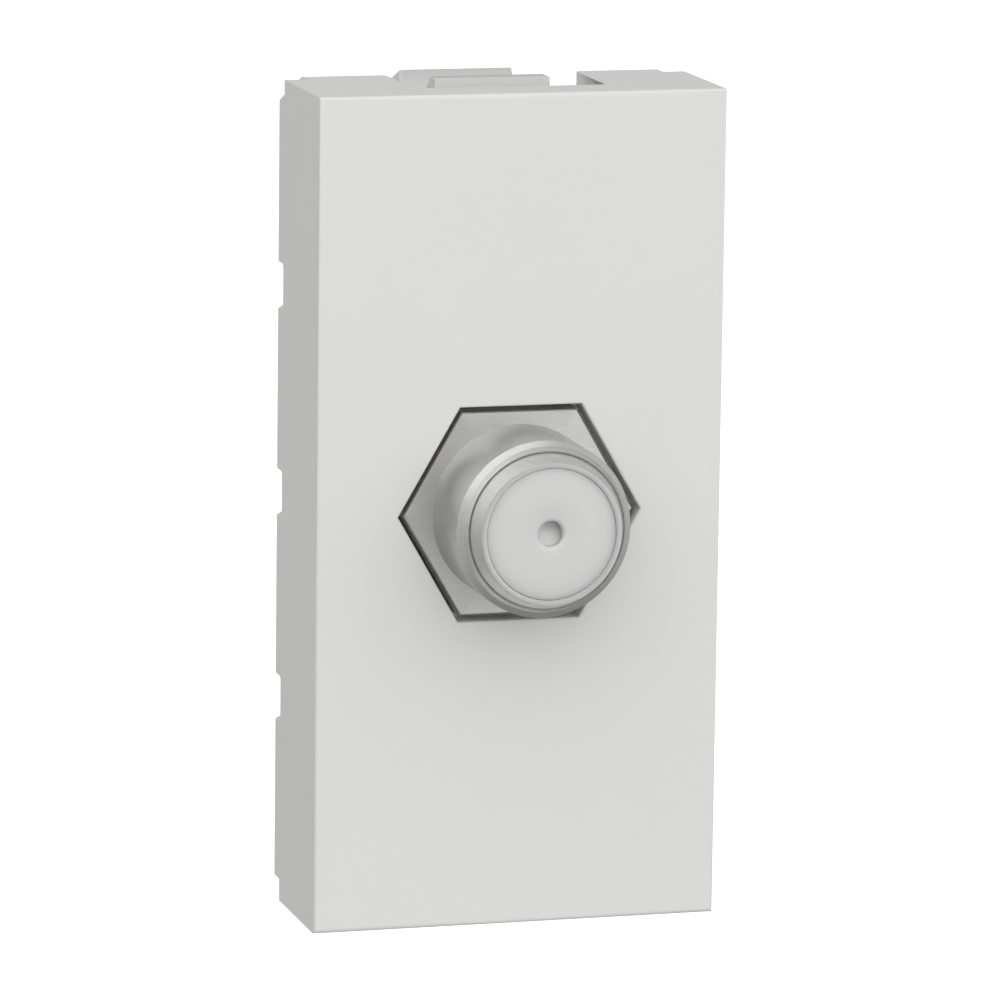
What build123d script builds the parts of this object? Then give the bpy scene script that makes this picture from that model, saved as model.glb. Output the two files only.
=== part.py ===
from build123d import *
import os
from math import cos, radians, tan

# A single-width television aerial socket for a wiring accessory frame. A moulded cover snaps
# over a moulded carrier, and a nut clamps a through coupler for screw-on plugs in the carrier.
# Millimetres. X runs to the right and Z up as seen from the room, Y from the face to the wall.
# The origin is on the socket's axis, level with the cover's front face.

# Cover moulding
cover_width = 22.3
cover_height = 45.0
skin_depth = 7.8
foot_height = 1.1
front_plate = 1.8
cover_wall = 1.2
face_end_radius = 0.3
face_side_radius = 0.15
foot_corner_cut = 1.2
side_notch_width = 2.55
side_notch_pitch = 11.3
side_notch_count = 3
side_notch_bevel = 30.0
side_notch_root_radius = 0.2
latch_notch_width = 10.6
latch_notch_front = 3.0
latch_notch_corner = 0.3
roof_relief_width = 2.0
roof_relief_length = 2.9
roof_relief_drop = 0.6
roof_relief_lip = 0.05
catch_rib_length = 5.0
catch_rib_height = 0.35
catch_rib_ramp = 1.35
catch_rib_spacing = 28.0

# Through coupler, turned from hexagon bar
hex_across_flats = 11.0
hex_recess = 0.3
hex_thickness = 2.4
hex_edge_break = 0.08
barrel_diameter = 9.5
barrel_shoulder = 4.65
shoulder_chamfer_radius = 4.28
shoulder_chamfer_length = 0.55
nose_groove_depth = 0.34
nose_groove_mouth = 0.12
nose_groove_width = 0.08
nose_root_radius = 4.14
nose_tip_radius = 3.83
nose_length = 1.30
rear_barrel_length = 16.7
rear_barrel_chamfer = 0.6
rear_thread_pitch = 25.4 / 32
rear_thread_depth = 0.42
port_diameter = 7.06
port_lip_length = 0.55
chamber_diameter = 7.4

# Insulators and contact inside the coupler
insulator_setback = 0.02
guide_hole_diameter = 1.37
guide_hole_mouth_diameter = 1.66
guide_web = 0.55
contact_cavity_diameter = 2.9
contact_pocket_diameter = 4.4
contact_pocket_depth = 0.6
contact_width = 1.7
contact_tab_width = 3.6
contact_strip = 0.3
contact_rail_height = 0.8
contact_flap_depth = 0.55
contact_flap_reach = 0.85
contact_flap_mitre = 0.2
contact_throat_height = 0.6
contact_leaf_length = 6.0

# Carrier moulding
flange_thickness = 2.0
flange_corner_cut = 0.8
seat_floor = 2.5
boss_diameter = 16.0
skirt_side_gap = 1.75
skirt_end_gap = 1.1
skirt_wall = 1.3
skirt_corner_radius = 1.0
skirt_rear = 18.6
finger_gap_height = 15.0
finger_gap_front = 8.6
finger_gap_radius = 1.5
cross_rib_spacing = 16.4
cross_rib_thickness = 1.0
cross_rib_depth = 2.8
gusset_pitch = 9.4
gusset_count = 3
gusset_thickness = 1.0
gusset_length = 3.0

# Snap tongues, one above and one below, each with two teeth
tongue_width = 6.4
tongue_thickness = 1.3
tongue_drop = 1.5
tongue_front = 6.5
tongue_root_length = 2.2
tongue_side_gap = 0.8
tongue_root_radius = 0.6
front_tooth_rise = 1.55
front_tooth_flat = 1.1
front_tooth_slope = 43.0
rear_tooth_ridge = 14.05
rear_tooth_rise = 1.12
rear_tooth_lean = 26.5
rear_tooth_ramp = 20.0
tooth_edge_radius = 0.1

# Clamping hardware
washer_thickness = 0.6
washer_diameter = 12.6
washer_web = 1.0
washer_tooth_count = 10
washer_tooth_width = 1.3
nut_across_flats = 11.0
nut_thickness = 2.2
nut_corner_angle = 30.0

# Clearances
cover_clearance = 0.1
catch_clearance = 0.05
hex_hole_clearance = 0.3
hex_seat_clearance = 0.1
barrel_hole_clearance = 0.15
washer_clearance = 0.1
nut_clearance = 0.05
spanner_clearance = 0.4
insulator_clearance = 0.04

# Places that follow from the sizes above
half_width = cover_width / 2
half_height = cover_height / 2
seat_depth = skin_depth + foot_height
inner_half_width = half_width - cover_wall
inner_half_height = half_height - cover_wall

hex_rear = hex_recess + hex_thickness
barrel_radius = barrel_diameter / 2
nose_root = -barrel_shoulder - shoulder_chamfer_length
groove_floor = nose_root + nose_groove_depth
coupler_front = groove_floor - nose_length
coupler_rear = hex_rear + rear_barrel_length
coupler_middle = (coupler_front + coupler_rear) / 2

flange_rear = hex_rear + seat_floor
flange_front = flange_rear - flange_thickness
flange_half_width = inner_half_width - cover_clearance
flange_half_height = inner_half_height - cover_clearance
skirt_half_width = inner_half_width - skirt_side_gap
skirt_half_height = inner_half_height - skirt_end_gap
tongue_top = half_height - tongue_drop
tongue_root = skirt_rear - tongue_root_length

nut_front = flange_rear + washer_thickness
nut_rear = nut_front + nut_thickness
nut_corner_radius = nut_across_flats / 2 / cos(radians(30))

# How far a cutting shape runs past the faces that it cuts
overrun = 1.0


def slab(outline, front, rear):
    """An outline drawn across the width and height, carried from one depth to another."""
    return extrude(Plane.XZ.offset(-front) * outline, amount=front - rear)


def side_profile(points, width):
    """An outline drawn over depth and height, given an equal width either side of the middle."""
    return extrude(Plane.YZ * Polygon(*points, align=None), amount=width / 2, both=True)


def turned(points):
    """A ring turned about the socket's axis from points of radius and depth."""
    return revolve(Plane.XY * Polygon(*points, align=None), axis=Axis.Y)


def hexagon(across_flats):
    """A hexagon with flats above and below."""
    return RegularPolygon(across_flats / 2, 6, major_radius=False)


def both_ends(shape):
    """A shape and its mirror image below the axis."""
    return [shape, mirror(shape, about=Plane.XY)]


def both_sides(shape):
    """A shape and its mirror image across the middle of the width."""
    return [shape, mirror(shape, about=Plane.YZ)]


def side_notch(height):
    """One of the notches that part the feet on the right-hand wall, narrower inside."""
    slope = tan(radians(side_notch_bevel))
    outer = side_notch_width / 2 + overrun * slope
    inner = side_notch_width / 2 - (cover_wall + cover_clearance) * slope
    x_outer = half_width + overrun
    x_inner = inner_half_width - cover_clearance
    outline = Polygon(
        (x_inner, -inner), (x_outer, -outer), (x_outer, outer), (x_inner, inner), align=None
    )
    notch = slab(outline, skin_depth, seat_depth + overrun)
    floor_edges = notch.faces().sort_by(Axis.Y)[0].edges().filter_by(Axis.Z, reverse=True)
    notch = fillet(floor_edges, side_notch_root_radius)
    return Pos(0, 0, height) * notch


def latch_notch():
    """The gap in the top wall over the snap tongue, with the relief under its two edges."""
    half_gap = latch_notch_width / 2
    wall_middle = half_height - cover_wall / 2
    reach = cover_wall + 2 * overrun
    gap_length = seat_depth + overrun - latch_notch_front
    gap = Pos(0, latch_notch_front + gap_length / 2, wall_middle) * Box(
        latch_notch_width, gap_length, reach
    )
    below = inner_half_height - overrun
    roof = half_height - roof_relief_lip
    outline = Polygon(
        (0, below), (half_gap + roof_relief_width, below),
        (half_gap + roof_relief_width, roof - roof_relief_drop), (half_gap, roof), (0, roof), align=None,
    )
    relief = slab(outline, latch_notch_front, latch_notch_front + roof_relief_length)
    return gap + both_sides(relief)


def catch_rib(height):
    """A ramped rib inside the right-hand wall that the carrier's flange snaps past."""
    catch_face = flange_rear + catch_clearance
    outline = Polygon(
        (inner_half_width - catch_rib_height, catch_face),
        (inner_half_width + cover_wall / 2, catch_face),
        (inner_half_width + cover_wall / 2, catch_face + catch_rib_ramp),
        (inner_half_width, catch_face + catch_rib_ramp),
        align=None,
    )
    rib = extrude(Plane.XY * outline, amount=catch_rib_length / 2, both=True)
    return Pos(0, 0, height) * rib


def make_front_cover():
    """The moulded cap: front plate with its hexagonal hole, four walls and the raised feet."""
    skin = slab(Rectangle(cover_width, cover_height), 0, skin_depth)
    face_edges = skin.faces().sort_by(Axis.Y)[0].edges()
    rounded_ends = fillet(face_edges.filter_by(Axis.X), face_end_radius)
    rounded_sides = fillet(face_edges.filter_by(Axis.Z), face_side_radius)
    skin = rounded_ends & rounded_sides
    foot_outline = Rectangle(cover_width, cover_height)
    foot_outline = chamfer(foot_outline.vertices(), foot_corner_cut)
    cover = skin + slab(foot_outline, skin_depth, seat_depth)
    cover -= slab(
        Rectangle(2 * inner_half_width, 2 * inner_half_height), front_plate, seat_depth + overrun
    )
    cover -= slab(hexagon(hex_across_flats + 2 * hex_hole_clearance), -overrun, front_plate + overrun)
    for step in range(side_notch_count):
        height = (step - (side_notch_count - 1) / 2) * side_notch_pitch
        cover -= both_sides(side_notch(height))
    cover -= both_ends(latch_notch())
    half_gap = latch_notch_width / 2
    foot_ends = [
        edge
        for edge in cover.edges().filter_by(Axis.Z)
        if abs(abs(edge.center().X) - half_gap) < overrun / 10
        and abs(edge.center().Y - seat_depth) < overrun / 10
    ]
    cover = fillet(foot_ends, latch_notch_corner)
    for height in (-catch_rib_spacing / 2, catch_rib_spacing / 2):
        cover += both_sides(catch_rib(height))
    return cover


def snap_tongue():
    """The upper tongue: free at the front, rooted in the skirt at the rear, with its two teeth."""
    underside = tongue_top - tongue_thickness
    inside = skirt_half_height - skirt_wall
    slope_run = front_tooth_rise / tan(radians(front_tooth_slope))
    lean_run = rear_tooth_rise * tan(radians(rear_tooth_lean))
    ramp_run = rear_tooth_rise / tan(radians(rear_tooth_ramp))
    tooth_heel = tongue_front + front_tooth_flat
    points = [
        (tongue_front, underside),
        (tongue_front, tongue_top + front_tooth_rise),
        (tooth_heel, tongue_top + front_tooth_rise),
        (tooth_heel + slope_run, tongue_top),
        (rear_tooth_ridge - lean_run, tongue_top),
        (rear_tooth_ridge, tongue_top + rear_tooth_rise),
        (rear_tooth_ridge + ramp_run, tongue_top),
        (skirt_rear, tongue_top),
        (skirt_rear, inside),
        (tongue_root, inside),
        (tongue_root, underside),
    ]
    tongue = side_profile(points, tongue_width)
    side_faces = tongue.faces().filter_by(Axis.X)
    crests = [
        edge
        for edge in side_faces.edges()
        if edge.center().Z > tongue_top + rear_tooth_rise / 3
    ]
    return fillet(crests, tooth_edge_radius)


def tongue_window():
    """What the flange and the skirt leave open around the upper tongue."""
    width = tongue_width + 2 * tongue_side_gap
    low = tongue_top - tongue_thickness - tongue_side_gap
    high = half_height
    length = tongue_root - flange_front
    window = Pos(0, flange_front + length / 2, (low + high) / 2) * Box(width, length, high - low)
    rear_edges = window.faces().sort_by(Axis.Y)[-1].edges().filter_by(Axis.Z)
    return fillet(rear_edges, tongue_root_radius)


def finger_gap():
    """The cut-out through both long sides where the plug behind the socket is gripped."""
    length = skirt_rear + overrun - finger_gap_front
    middle = finger_gap_front + length / 2
    gap = Pos(0, middle, 0) * Box(2 * half_width, length, finger_gap_height)
    return fillet(gap.faces().sort_by(Axis.Y)[0].edges().filter_by(Axis.X), finger_gap_radius)


def gusset(height):
    """A web between the flange and the outside of the skirt's right-hand wall."""
    foot = skirt_half_width - skirt_wall / 2
    outline = Polygon(
        (foot, flange_rear - flange_thickness / 2),
        (flange_half_width, flange_rear - flange_thickness / 2),
        (flange_half_width, flange_rear),
        (skirt_half_width, flange_rear + gusset_length),
        (foot, flange_rear + gusset_length),
        align=None,
    )
    web = extrude(Plane.XY * outline, amount=gusset_thickness / 2, both=True)
    return Pos(0, 0, height) * web


def make_carrier():
    """The moulded carrier: flange, hexagonal seat, open skirt and the two snap tongues."""
    flange_outline = Rectangle(2 * flange_half_width, 2 * flange_half_height)
    flange_outline = chamfer(flange_outline.vertices(), flange_corner_cut)
    carrier = slab(flange_outline, flange_front, flange_rear)
    carrier += slab(Circle(boss_diameter / 2), front_plate, flange_front)
    skirt_outer = RectangleRounded(2 * skirt_half_width, 2 * skirt_half_height, skirt_corner_radius)
    skirt_inner = Rectangle(
        2 * (skirt_half_width - skirt_wall), 2 * (skirt_half_height - skirt_wall)
    )
    carrier += slab(skirt_outer - skirt_inner, flange_rear, skirt_rear)
    for height in (-cross_rib_spacing / 2, cross_rib_spacing / 2):
        rib = Pos(0, height) * Rectangle(2 * skirt_half_width - skirt_wall, cross_rib_thickness)
        carrier += slab(rib, flange_rear, flange_rear + cross_rib_depth)
    for step in range(gusset_count):
        height = (step - (gusset_count - 1) / 2) * gusset_pitch
        carrier += both_sides(gusset(height))
    carrier -= slab(hexagon(hex_across_flats + 2 * hex_seat_clearance), front_plate, hex_rear)
    carrier -= slab(Circle(barrel_radius + barrel_hole_clearance), hex_rear, flange_rear)
    hardware_room = max(nut_corner_radius, washer_diameter / 2) + spanner_clearance
    carrier -= slab(Circle(hardware_room), flange_rear, nut_rear)
    carrier -= finger_gap()
    carrier -= both_ends(tongue_window())
    carrier += both_ends(snap_tongue())
    return carrier


def thread_rings(front, rear):
    """The crests and roots of the thread's turns, counted back from the end of the barrel."""
    count = int((rear - front) / rear_thread_pitch)
    crests = [rear - step * rear_thread_pitch for step in range(count, 0, -1)]
    points = []
    for crest in crests:
        points.append((barrel_radius, crest))
        points.append((barrel_radius - rear_thread_depth, crest + rear_thread_pitch / 2))
    return points + [(barrel_radius, rear)]


def make_coupler_body():
    """The turned body: hexagonal flange, front barrel with its rolled nose, and rear barrel."""
    port = port_diameter / 2
    chamber = chamber_diameter / 2
    groove_radius = nose_root_radius + nose_groove_width
    front_barrel = turned(
        [
            (0, coupler_front),
            (nose_tip_radius, coupler_front),
            (nose_root_radius, groove_floor),
            (groove_radius, groove_floor),
            (groove_radius, nose_root + nose_groove_mouth),
            (shoulder_chamfer_radius, nose_root),
            (barrel_radius, -barrel_shoulder),
            (barrel_radius, hex_recess),
            (0, hex_recess),
        ]
    )
    rear_barrel = turned(
        [
            (0, hex_rear),
            (barrel_radius, hex_rear),
            *thread_rings(nut_rear, coupler_rear - rear_barrel_chamfer),
            (barrel_radius - rear_barrel_chamfer, coupler_rear),
            (0, coupler_rear),
        ]
    )
    flange = slab(hexagon(hex_across_flats), hex_recess, hex_rear)
    flange = chamfer(flange.faces().sort_by(Axis.Y)[0].edges(), hex_edge_break)
    bore = turned(
        [
            (0, coupler_front - overrun),
            (port, coupler_front - overrun),
            (port, coupler_front + port_lip_length),
            (chamber, coupler_front + port_lip_length),
            (chamber, coupler_rear - port_lip_length),
            (port, coupler_rear - port_lip_length),
            (port, coupler_rear + overrun),
            (0, coupler_rear + overrun),
        ]
    )
    return front_barrel + flange + rear_barrel - bore


def make_front_insulator():
    """The front half of the insulator: a guide web with its hole, and the tube behind it."""
    face = coupler_front + insulator_setback
    head = port_diameter / 2 - insulator_clearance
    tube = chamber_diameter / 2 - insulator_clearance
    shoulder = coupler_front + port_lip_length
    hole = guide_hole_diameter / 2
    mouth = guide_hole_mouth_diameter / 2
    cavity = contact_cavity_diameter / 2
    pocket = contact_pocket_diameter / 2
    return turned(
        [
            (mouth, face),
            (head, face),
            (head, shoulder),
            (tube, shoulder),
            (tube, coupler_middle),
            (pocket, coupler_middle),
            (pocket, coupler_middle - contact_pocket_depth),
            (cavity, coupler_middle - contact_pocket_depth),
            (cavity, face + guide_web),
            (hole, face + guide_web),
            (hole, face + mouth - hole),
        ]
    )


def make_rear_insulator():
    """The rear half, the front one's twin turned end for end."""
    return mirror(make_front_insulator(), about=Plane.XZ.offset(-coupler_middle))


def contact_spring():
    """The contact's front half: a rail, and a leaf whose flap covers the guide hole from behind."""
    tip = coupler_front + insulator_setback + guide_web + insulator_clearance
    throat = tip + contact_flap_depth
    heel = throat + contact_leaf_length
    rail_low = contact_rail_height
    rail_high = contact_rail_height + contact_strip
    return side_profile(
        [
            (tip, rail_low),
            (tip, rail_high),
            (coupler_middle, rail_high),
            (coupler_middle, -contact_strip),
            (heel, -contact_strip),
            (throat + contact_flap_mitre, contact_throat_height - contact_strip),
            (tip + contact_strip, -contact_flap_reach),
            (tip, -contact_flap_reach),
            (throat, contact_throat_height),
            (heel, 0),
            (heel + contact_strip, 0),
            (heel + contact_strip, rail_low),
        ],
        contact_width,
    )


def make_centre_contact():
    """The double-ended contact, with the tab that the insulator halves trap between them."""
    spring = contact_spring()
    twin = mirror(spring, about=Plane.XZ.offset(-coupler_middle))
    tab_height = contact_rail_height + 2 * contact_strip
    tab_middle = contact_rail_height + contact_strip - tab_height / 2
    tab = Pos(0, tab_middle) * Rectangle(contact_tab_width, tab_height)
    tab_depth = contact_pocket_depth - insulator_clearance
    return spring + twin + slab(tab, coupler_middle - tab_depth, coupler_middle + tab_depth)


def make_lock_washer():
    """The flat lock washer, with teeth round its hole."""
    outer = washer_diameter / 2
    inner = outer - washer_web
    tip = barrel_radius + washer_clearance
    tooth_reach = inner + washer_web / 2 - tip
    tooth = Pos(tip + tooth_reach / 2, 0) * Rectangle(tooth_reach, washer_tooth_width)
    outline = Circle(outer) - Circle(inner)
    for step in range(washer_tooth_count):
        outline += Rot(0, 0, 360 * step / washer_tooth_count) * tooth
    outline -= Circle(tip)
    return slab(outline, flange_rear, nut_front)


def make_mounting_nut():
    """The thin hexagonal nut, its corners turned back on both faces."""
    nut = slab(hexagon(nut_across_flats), nut_front, nut_rear)
    flat_radius = nut_across_flats / 2
    turn_back = (nut_corner_radius - flat_radius) * tan(radians(nut_corner_angle))
    envelope = turned(
        [
            (0, nut_front),
            (flat_radius, nut_front),
            (nut_corner_radius, nut_front + turn_back),
            (nut_corner_radius, nut_rear - turn_back),
            (flat_radius, nut_rear),
            (0, nut_rear),
        ]
    )
    hole = slab(Circle(barrel_radius + nut_clearance), nut_front, nut_rear)
    return (nut & envelope) - hole


os.makedirs("parts", exist_ok=True)
export_step(make_front_cover(), "parts/front_cover.step")
export_step(make_carrier(), "parts/carrier.step")
export_step(make_coupler_body(), "parts/coupler_body.step")
export_step(make_front_insulator(), "parts/front_insulator.step")
export_step(make_rear_insulator(), "parts/rear_insulator.step")
export_step(make_centre_contact(), "parts/centre_contact.step")
export_step(make_lock_washer(), "parts/lock_washer.step")
export_step(make_mounting_nut(), "parts/mounting_nut.step")
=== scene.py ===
import math

import bmesh
import bpy
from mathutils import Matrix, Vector


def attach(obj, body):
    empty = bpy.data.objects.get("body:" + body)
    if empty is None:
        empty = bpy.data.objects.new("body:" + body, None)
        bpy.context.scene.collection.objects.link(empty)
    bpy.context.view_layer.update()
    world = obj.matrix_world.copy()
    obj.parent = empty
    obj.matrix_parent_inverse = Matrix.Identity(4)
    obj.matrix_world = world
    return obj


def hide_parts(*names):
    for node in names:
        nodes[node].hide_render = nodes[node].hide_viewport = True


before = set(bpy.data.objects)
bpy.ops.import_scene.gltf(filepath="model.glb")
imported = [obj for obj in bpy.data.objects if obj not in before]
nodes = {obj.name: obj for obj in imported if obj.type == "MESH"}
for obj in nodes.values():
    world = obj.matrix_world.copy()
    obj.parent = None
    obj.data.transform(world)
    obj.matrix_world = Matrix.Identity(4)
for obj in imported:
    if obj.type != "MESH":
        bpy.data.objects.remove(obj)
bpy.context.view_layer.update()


# Carrier
# The moulding behind the cover: a flange that seats the coupler, an open skirt and two snap
# tongues. It is injection moulded in the same white plastic as the cover, which snaps over it.

# The sizes of the pieces and of the marks on them are in millimetres.
mm = 0.001
weld = 0.002
near = 0.001
flat_turn = math.radians(0.3)
crease_turn = math.radians(35)

white = (0.80, 0.80, 0.787)
white_shade = (0.775, 0.775, 0.760)
white_roughness = (0.21, 0.26)
white_relief = 0.002
plastic_ior = 1.52
grain_size = 0.12
flow_size = 12.0


def joined(tree, operation, first, second):
    """The output of a two-input sum, product or other step."""
    step = tree.nodes.new("ShaderNodeMath")
    step.operation = operation
    tree.links.new(first, step.inputs[0])
    if isinstance(second, float):
        step.inputs[1].default_value = second
    else:
        tree.links.new(second, step.inputs[1])
    return step.outputs["Value"]


def ranged(tree, value, limits):
    """A value moved to another range: limits gives the ends that aren't 0 or 1."""
    step = tree.nodes.new("ShaderNodeMapRange")
    for label, limit in limits.items():
        step.inputs[label].default_value = limit
    tree.links.new(value, step.inputs["Value"])
    return step.outputs["Result"]


def noise(tree, sizes, detail, roughness=0.5):
    """Noise on the piece's own coordinates, in cells of three sizes."""
    place = tree.nodes.new("ShaderNodeTexCoord")
    stretch = tree.nodes.new("ShaderNodeMapping")
    stretch.inputs["Scale"].default_value = [1 / (size * mm) for size in sizes]
    tree.links.new(place.outputs["Object"], stretch.inputs["Vector"])
    cells = tree.nodes.new("ShaderNodeTexNoise")
    cells.inputs["Scale"].default_value = 1.0
    cells.inputs["Detail"].default_value = detail
    cells.inputs["Roughness"].default_value = roughness
    tree.links.new(stretch.outputs["Vector"], cells.inputs["Vector"])
    return cells.outputs["Fac"]


def surface_group(name, marks):
    """A node group of marks: marks gives the height, tint and gloss that the group puts out."""
    group = bpy.data.node_groups.new(name, "ShaderNodeTree")
    group.interface.new_socket("Relief", in_out="INPUT", socket_type="NodeSocketFloat")
    for label in ("Height", "Tint", "Gloss"):
        group.interface.new_socket(label, in_out="OUTPUT", socket_type="NodeSocketFloat")
    relief = group.nodes.new("NodeGroupInput").outputs["Relief"]
    gives = group.nodes.new("NodeGroupOutput")
    height, tint, gloss = marks(group)
    group.links.new(joined(group, "MULTIPLY", height, relief), gives.inputs["Height"])
    group.links.new(tint, gives.inputs["Tint"])
    group.links.new(gloss, gives.inputs["Gloss"])
    return group


def grain_marks(group):
    """The fine grain of the eroded mould, and the slow flow of the plastic's tint and gloss."""
    flow = noise(group, [flow_size] * 3, detail=4.0)
    return noise(group, [grain_size] * 3, detail=3.0), flow, flow


def new_material(name, settings):
    """A material, its nodes and its shader, with some of the shader's inputs set."""
    material = bpy.data.materials.new(name)
    material.use_nodes = True
    shader = material.node_tree.nodes["Principled BSDF"]
    for label, value in settings.items():
        shader.inputs[label].default_value = value
    return material, material.node_tree, shader


def marked_material(name, group, relief, colours, roughness, settings):
    """A material whose relief, colour and gloss follow a group of marks."""
    material, tree, shader = new_material(name, settings)
    marks = tree.nodes.new("ShaderNodeGroup")
    marks.node_tree = group
    marks.inputs["Relief"].default_value = relief
    tint = tree.nodes.new("ShaderNodeMix")
    tint.data_type = "RGBA"
    for end, colour in zip("AB", colours):
        tint.inputs[end].default_value = (*colour, 1)
    tree.links.new(marks.outputs["Tint"], tint.inputs["Factor"])
    tree.links.new(tint.outputs["Result"], shader.inputs["Base Color"])
    low, high = roughness
    gloss = ranged(tree, marks.outputs["Gloss"], {"To Min": low, "To Max": high})
    tree.links.new(gloss, shader.inputs["Roughness"])
    bump = tree.nodes.new("ShaderNodeBump")
    bump.inputs["Strength"].default_value = 1.0
    bump.inputs["Distance"].default_value = mm
    tree.links.new(marks.outputs["Height"], bump.inputs["Height"])
    tree.links.new(bump.outputs["Normal"], shader.inputs["Normal"])
    return material


def merged_copy(node):
    """A node's own triangles joined into one closed skin with whole flat faces."""
    form = bmesh.new()
    form.from_mesh(nodes[node].data)
    bmesh.ops.scale(form, vec=(1 / mm, 1 / mm, 1 / mm), verts=form.verts)
    bmesh.ops.remove_doubles(form, verts=form.verts, dist=weld)
    bmesh.ops.dissolve_degenerate(form, dist=near, edges=form.edges)
    bmesh.ops.dissolve_limit(
        form, angle_limit=flat_turn, use_dissolve_boundaries=False,
        verts=form.verts, edges=form.edges, delimit=set(),
    )
    return form


def finished(form, name, material, node):
    """Makes the mesh a piece in metres that stands for a node of the frame."""
    bmesh.ops.recalc_face_normals(form, faces=form.faces)
    bmesh.ops.scale(form, vec=(mm, mm, mm), verts=form.verts)
    mesh = bpy.data.meshes.new(name)
    form.to_mesh(mesh)
    form.free()
    mesh.shade_smooth()
    mesh.set_sharp_from_angle(angle=crease_turn)
    mesh.materials.append(material)
    piece = bpy.data.objects.new(name, mesh)
    bpy.context.scene.collection.objects.link(piece)
    even = piece.modifiers.new("even_shading", "WEIGHTED_NORMAL")
    even.keep_sharp = True
    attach(piece, "root")
    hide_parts(node)


mould_grain = surface_group("mould_grain", grain_marks)
white_moulding = marked_material(
    "white_moulding", mould_grain, white_relief, (white_shade, white), white_roughness,
    {"IOR": plastic_ior},
)
finished(merged_copy("carrier"), "latched_carrier", white_moulding, "carrier")


# Coupler
# One brass body turned from hexagonal bar, drilled through for its insulators and threaded
# behind the hexagon. It is nickel plated, and fine brush marks run across all its faces.

hex_front = 0.30
hex_rear = 2.70
hex_apothem = 5.50
hex_break = 0.08
barrel_radius = 4.75
coupler_front = -6.16
coupler_rear = 19.40
port_radius = 3.53
chamber_radius = 3.70
port_lip = 0.55
shoulder = -4.65
shoulder_step = (4.44, -4.80)
shoulder_edge = (4.28, -5.20)
groove = ((4.26, -5.14), (4.26, -5.06), (4.22, -5.06))
nose_radius = 3.83
rear_chamfer = 0.60
thread_pitch = 25.4 / 32
thread_depth = 0.42
thread_front = 3.4
thread_divisions = 10
valley_narrowing = 1.3
turn_steps = 192
least_turn = math.radians(24)
turned_rounding = 0.018
turned_round_steps = 3

nickel = (0.73, 0.728, 0.724)
nickel_dark = (0.62, 0.618, 0.612)
nickel_roughness = (0.29, 0.37)
nickel_relief = 0.0015
mark_length = 0.6
mark_width = 0.05
mark_contrast = {"From Min": 0.25, "From Max": 0.75}
cloud_size = 1.11


def brushing_marks(group):
    """Streaks that run across the piece, and the cloudy gloss of its plating."""
    streaks = noise(group, (mark_length, mark_length, mark_width), detail=4.0, roughness=0.6)
    return streaks, ranged(group, streaks, mark_contrast), noise(group, [cloud_size] * 3, detail=3.0)


def spun(outline, closed):
    """A mesh turned about the socket's axis from points of radius and depth."""
    form = bmesh.new()
    corners = [form.verts.new((radius, depth, 0)) for radius, depth in outline]
    ends = corners[1:] + corners[:1] if closed else corners[1:]
    sides = [form.edges.new(pair) for pair in zip(corners, ends)]
    bmesh.ops.spin(
        form, geom=corners + sides, cent=(0, 0, 0), axis=(0, 1, 0),
        angle=math.tau, steps=turn_steps, use_merge=True,
    )
    bmesh.ops.remove_doubles(form, verts=form.verts, dist=weld)
    return form


def open_loop(form, depth):
    """The edges of an open rim that lies at one depth."""
    return [
        edge for edge in form.edges
        if edge.is_boundary and all(abs(vert.co.y - depth) < near for vert in edge.verts)
    ]


def widened(form, loop, place):
    """A strip grown from an open rim: place gives each new corner its radius and depth."""
    grown = bmesh.ops.extrude_edge_only(form, edges=loop)["geom"]
    for vert in grown:
        if isinstance(vert, bmesh.types.BMVert):
            angle = math.atan2(vert.co.z, vert.co.x)
            radius, depth = place(angle)
            vert.co = (radius * math.cos(angle), depth, radius * math.sin(angle))
    return [edge for edge in grown if isinstance(edge, bmesh.types.BMEdge)]


def hexagon_reach(apothem, angle):
    """How far a hexagon with flats above and below reaches at an angle."""
    return apothem / math.cos((angle % (math.pi / 3)) - math.pi / 6)


def turned_edges(form):
    """The edges at which a turned piece bends by more than the least turn."""
    return [
        edge for edge in form.edges
        if edge.is_manifold and edge.calc_face_angle() > least_turn
    ]


def rounded(form, edges, width, steps):
    """Rounds the given edges."""
    bmesh.ops.bevel(
        form, geom=edges, offset=width, offset_type="OFFSET", segments=steps, profile=0.5,
        affect="EDGES", material=-1, clamp_overlap=True,
    )


def threaded(form):
    """Sinks a right-handed thread into the rings of the rear barrel."""
    for vert in form.verts:
        radius = math.hypot(vert.co.x, vert.co.z)
        if radius > barrel_radius - near and vert.co.y > thread_front - near:
            turn = vert.co.y / thread_pitch + math.atan2(vert.co.z, vert.co.x) / math.tau
            valley = (0.5 - 0.5 * math.cos(math.tau * turn)) ** valley_narrowing
            start = min(1, (vert.co.y - thread_front) / thread_pitch)
            deeper = (radius - thread_depth * valley * start) / radius
            vert.co.x *= deeper
            vert.co.z *= deeper


thread_rear = coupler_rear - rear_chamfer
thread_rings = round((thread_rear - thread_front) / thread_pitch * thread_divisions)
thread_steps = [
    (barrel_radius, thread_rear - (thread_rear - thread_front) * step / thread_rings)
    for step in range(thread_rings + 1)
]
body = spun(
    [
        (barrel_radius, hex_front),
        (barrel_radius, shoulder),
        shoulder_step,
        shoulder_edge,
        *groove,
        (nose_radius, coupler_front),
        (port_radius, coupler_front),
        (port_radius, coupler_front + port_lip),
        (chamber_radius, coupler_front + port_lip),
        (chamber_radius, coupler_rear - port_lip),
        (port_radius, coupler_rear - port_lip),
        (port_radius, coupler_rear),
        (barrel_radius - rear_chamfer, coupler_rear),
        *thread_steps,
        (barrel_radius, hex_rear),
    ],
    closed=False,
)
rim = open_loop(body, hex_front)
hexagon_steps = (
    (hex_apothem - hex_break, hex_front),
    (hex_apothem, hex_front + hex_break),
    (hex_apothem, hex_rear),
)
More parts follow.
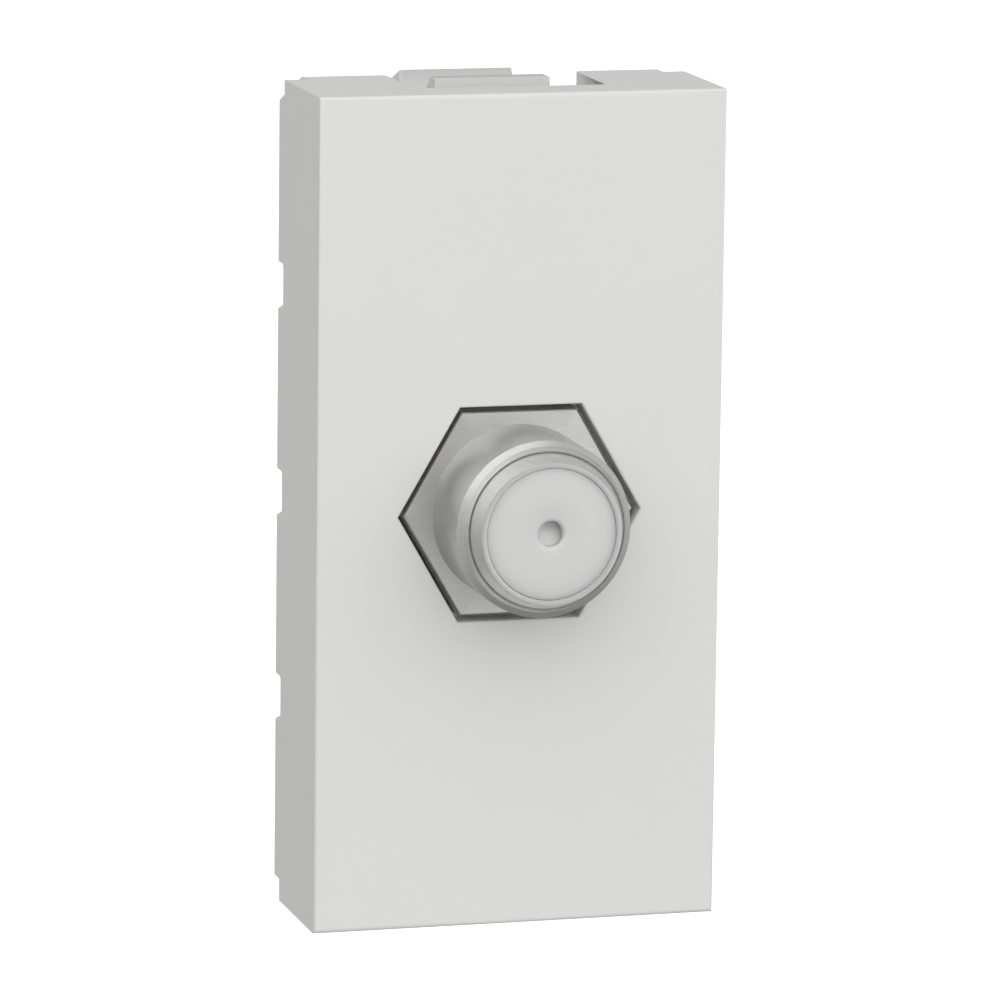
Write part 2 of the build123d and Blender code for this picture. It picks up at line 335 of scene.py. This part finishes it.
for apothem, depth in hexagon_steps:
    rim = widened(body, rim, lambda angle: (hexagon_reach(apothem, angle), depth))
widened(body, rim, lambda angle: (barrel_radius, hex_rear))
bmesh.ops.remove_doubles(body, verts=body.verts, dist=weld)
bmesh.ops.recalc_face_normals(body, faces=body.faces)
rounded(body, turned_edges(body), turned_rounding, turned_round_steps)
threaded(body)

brush_marks = surface_group("brush_marks", brushing_marks)
nickel_plate = marked_material(
    "nickel_plate", brush_marks, nickel_relief, (nickel_dark, nickel), nickel_roughness,
    {"Metallic": 1.0},
)
finished(body, "coupler", nickel_plate, "coupler_body")


# Insulators
# Two turned plastic tubes that meet in the middle of the coupler. Each ends in a thin web
# with a countersunk hole that guides the cable's inner conductor into the contact.

insulator_room = 0.02
insulator_setback = 0.02
guide_mouth = 0.83
guide_hole = 0.685
guide_web = 0.55
cavity_radius = 1.45
pocket_radius = 2.20
pocket_depth = 0.60
insulator_rounding = 0.03
coupler_middle = (coupler_front + coupler_rear) / 2

insulator_white = (0.745, 0.745, 0.73)
insulator_shade = (0.725, 0.725, 0.71)
insulator_roughness = (0.38, 0.46)
insulator_relief = 0.001
insulator_translucence = 0.8
translucent_depth = (1.6, 1.5, 1.4)

insulator_plastic = marked_material(
    "insulator_plastic", mould_grain, insulator_relief, (insulator_shade, insulator_white),
    insulator_roughness,
    {
        "IOR": plastic_ior,
        "Subsurface Weight": insulator_translucence,
        "Subsurface Radius": translucent_depth,
        "Subsurface Scale": mm,
    },
)
face = coupler_front + insulator_setback
for name, at_rear in (("front_insulator", False), ("rear_insulator", True)):
    tube = spun(
        [
            (guide_mouth, face),
            (port_radius - insulator_room, face),
            (port_radius - insulator_room, coupler_front + port_lip),
            (chamber_radius - insulator_room, coupler_front + port_lip),
            (chamber_radius - insulator_room, coupler_middle),
            (pocket_radius, coupler_middle),
            (pocket_radius, coupler_middle - pocket_depth),
            (cavity_radius, coupler_middle - pocket_depth),
            (cavity_radius, face + guide_web),
            (guide_hole, face + guide_web),
            (guide_hole, face + guide_mouth - guide_hole),
        ],
        closed=True,
    )
    rounded(tube, turned_edges(tube), insulator_rounding, turned_round_steps)
    if at_rear:
        bmesh.ops.scale(tube, vec=(1, -1, 1), verts=tube.verts)
        bmesh.ops.translate(tube, vec=(0, 2 * coupler_middle, 0), verts=tube.verts)
    finished(tube, name + "_turned", insulator_plastic, name)


# Contact
# A strip of spring bronze, tin plated, folded into a rail and two leaves. The leaves open
# as funnels behind the guide holes and close on the conductor.

tin = (0.93, 0.93, 0.91)
tin_dark = (0.88, 0.88, 0.86)
tin_roughness = (0.50, 0.60)
tin_relief = 0.001

tin_plate = marked_material(
    "tin_plate", brush_marks, tin_relief, (tin_dark, tin), tin_roughness, {"Metallic": 1.0}
)
nodes["centre_contact"].material_slots[0].material = tin_plate


# Washer and nut
# The steel washer is stamped with teeth round its hole. The thin nut is turned from the
# same hexagonal bar as the coupler, and its corners are turned back on both faces.

zinc = (0.56, 0.56, 0.57)
zinc_dark = (0.46, 0.46, 0.47)
zinc_roughness = (0.38, 0.50)
zinc_relief = 0.0015
nut_front = 5.80
nut_rear = 8.00
nut_bore = 4.80
nut_mouth = 0.25
nut_turned_radius = 5.40
nut_slope = math.tan(math.radians(30))

zinc_plate = marked_material(
    "zinc_plate", brush_marks, zinc_relief, (zinc_dark, zinc), zinc_roughness, {"Metallic": 1.0}
)
nodes["lock_washer"].material_slots[0].material = zinc_plate


def turned_back(angle, face, way):
    """A point where the turned corner of the nut meets its hexagon."""
    reach = hexagon_reach(hex_apothem, angle)
    return reach, face + way * (reach - nut_turned_radius) * nut_slope


nut = spun(
    [
        (nut_turned_radius, nut_front),
        (nut_bore + nut_mouth, nut_front),
        (nut_bore, nut_front + nut_mouth),
        (nut_bore, nut_rear - nut_mouth),
        (nut_bore + nut_mouth, nut_rear),
        (nut_turned_radius, nut_rear),
    ],
    closed=False,
)
front_rim = open_loop(nut, nut_front)
rear_rim = open_loop(nut, nut_rear)
front_rim = widened(nut, front_rim, lambda angle: turned_back(angle, nut_front, 1))
widened(nut, rear_rim, lambda angle: turned_back(angle, nut_rear, -1))
widened(nut, front_rim, lambda angle: turned_back(angle, nut_rear, -1))
bmesh.ops.remove_doubles(nut, verts=nut.verts, dist=weld)
finished(nut, "clamp_nut", nickel_plate, "mounting_nut")


# Front cover
# The white moulding that shows in the frame: a plate with the hexagonal hole, four walls
# and raised feet round the rear rim. It snaps over the carrier's flange.

rim_reach = 7.0
rim_rounding = 0.12
rim_round_steps = 4


def on_rim(vert):
    """Whether a corner of the cover lies on the front rim of the hexagonal hole."""
    return abs(vert.co.y) < near and math.hypot(vert.co.x, vert.co.z) < rim_reach


cover = merged_copy("front_cover")
hole_rim = [edge for edge in cover.edges if all(on_rim(vert) for vert in edge.verts)]
rounded(cover, hole_rim, rim_rounding, rim_round_steps)
finished(cover, "cover_moulding", white_moulding, "front_cover")


# Floor
# A plain pale sheet far below the module, so that no shadow of it falls in the picture. The
# camera sees it as white, it lights the module from below, and the metal doesn't mirror it.

# The places and sizes of the floor, the lamp and the camera are in metres.
floor_drop = 0.6
floor_reach = 6.0
floor_colour = (0.70, 0.70, 0.70, 1)
floor_lift = (0.80, 0.80, 0.80, 1)
floor_roughness = 0.9


def backdrop_level(tree, mirrored):
    """White where the camera sees the backdrop, and a level of its own where a piece mirrors it."""
    path = tree.nodes.new("ShaderNodeLightPath")
    passed_on = joined(
        tree, "MAXIMUM", path.outputs["Is Glossy Ray"], path.outputs["Is Transmission Ray"]
    )
    shown = joined(tree, "MULTIPLY", passed_on, mirrored)
    return joined(tree, "MAXIMUM", path.outputs["Is Camera Ray"], shown)


floor_paper, tree, shader = new_material(
    "floor_paper",
    {"Base Color": floor_colour, "Roughness": floor_roughness, "Emission Color": floor_lift},
)
tree.links.new(backdrop_level(tree, 1.0), shader.inputs["Emission Strength"])
sheet = bmesh.new()
bmesh.ops.create_grid(sheet, x_segments=1, y_segments=1, size=floor_reach)
bmesh.ops.translate(sheet, verts=sheet.verts, vec=(0, 0, -floor_drop))
mesh = bpy.data.meshes.new("floor")
sheet.to_mesh(mesh)
sheet.free()
mesh.materials.append(floor_paper)
floor = bpy.data.objects.new("floor", mesh)
bpy.context.scene.collection.objects.link(floor)
floor.visible_glossy = False


# Studio
# A pale room that glows in a few broad places, mostly in front and above, and one soft lamp
# in front of the module at its upper left. What the metal mirrors has a lower level and
# glows of its own, brightest at the upper left and in front to the right.

# Each glow has a direction from the module, a strength and a focus.
room_level = 0.12
room_glows = (
    ((0.58, -0.58, 0.58), 1.17, 4.0),
    ((0.00, -1.00, 0.00), 0.82, 4.0),
    ((-0.58, -0.58, 0.58), 0.54, 4.0),
    ((0.00, 1.00, 0.00), 0.45, 4.0),
    ((-0.58, 0.58, 0.58), 0.35, 4.0),
    ((0.58, 0.58, 0.58), 0.15, 4.0),
)
mirrored_level = 0.27
mirrored_glows = (
    ((0.50, -0.85, -0.15), 0.64, 10.0),
    ((-0.71, 0.00, 0.71), 0.80, 4.0),
    ((0.00, 0.71, 0.71), 0.35, 4.0),
    ((-0.95, -0.25, -0.18), 0.35, 4.0),
    ((0.58, -0.58, 0.58), 0.30, 4.0),
    ((1.00, 0.00, 0.00), 0.25, 4.0),
    ((-0.10, 0.95, -0.30), 0.30, 8.0),
    ((0.00, -1.00, 0.00), 0.10, 4.0),
)
studio_white = (1, 1, 1, 1)
lamp_place = (-0.12, -0.20, 0.25)
lamp_width = 0.45
lamp_power = 0.42


def glowing(tree, level, glows):
    """A plain level of light with glows in some directions."""
    place = tree.nodes.new("ShaderNodeTexCoord")
    total = tree.nodes.new("ShaderNodeValue").outputs["Value"]
    total.default_value = level
    for direction, strength, focus in glows:
        facing = tree.nodes.new("ShaderNodeVectorMath")
        facing.operation = "DOT_PRODUCT"
        facing.inputs[1].default_value = direction
        tree.links.new(place.outputs["Generated"], facing.inputs[0])
        front = joined(tree, "MAXIMUM", facing.outputs["Value"], 0.0)
        lobe = joined(tree, "POWER", front, focus)
        total = joined(tree, "ADD", joined(tree, "MULTIPLY", lobe, strength), total)
    return total


world = bpy.data.worlds.new("studio")
bpy.context.scene.world = world
world.use_nodes = True
world.cycles.sampling_method = "NONE"
tree = world.node_tree
room = tree.nodes["Background"]
room.inputs["Color"].default_value = studio_white
tree.links.new(glowing(tree, room_level, room_glows), room.inputs["Strength"])
backdrop = tree.nodes.new("ShaderNodeBackground")
backdrop.inputs["Color"].default_value = studio_white
mirrored = joined(tree, "MINIMUM", glowing(tree, mirrored_level, mirrored_glows), 1.0)
tree.links.new(backdrop_level(tree, mirrored), backdrop.inputs["Strength"])
mix = tree.nodes.new("ShaderNodeMixShader")
tree.links.new(backdrop_level(tree, 1.0), mix.inputs["Fac"])
tree.links.new(room.outputs["Background"], mix.inputs[1])
tree.links.new(backdrop.outputs["Background"], mix.inputs[2])
tree.links.new(mix.outputs["Shader"], tree.nodes["World Output"].inputs["Surface"])

lamp = bpy.data.lights.new("soft_lamp", "AREA")
lamp.size = lamp_width
lamp.energy = lamp_power
soft_lamp = bpy.data.objects.new("soft_lamp", lamp)
soft_lamp.location = lamp_place
soft_lamp.rotation_euler = (-Vector(lamp_place)).to_track_quat("-Z", "Y").to_euler()
bpy.context.scene.collection.objects.link(soft_lamp)


# Camera
# A long lens in front of the module, a little above it and to its left. The view transform
# is the plain one, so that a colour renders about as it is written.

camera_place = (-0.09712, -0.34067, 0.06690)
camera_turn = (79.414, -0.724, -15.603)
camera_lens = 243.63
camera_sensor = 36.0
camera_nearest = 0.01

lens = bpy.data.cameras.new("camera")
lens.lens = camera_lens
lens.sensor_width = camera_sensor
lens.clip_start = camera_nearest
camera = bpy.data.objects.new("camera", lens)
camera.location = camera_place
camera.rotation_euler = [math.radians(angle) for angle in camera_turn]
bpy.context.scene.collection.objects.link(camera)
bpy.context.scene.camera = camera
bpy.context.scene.view_settings.view_transform = "Standard"
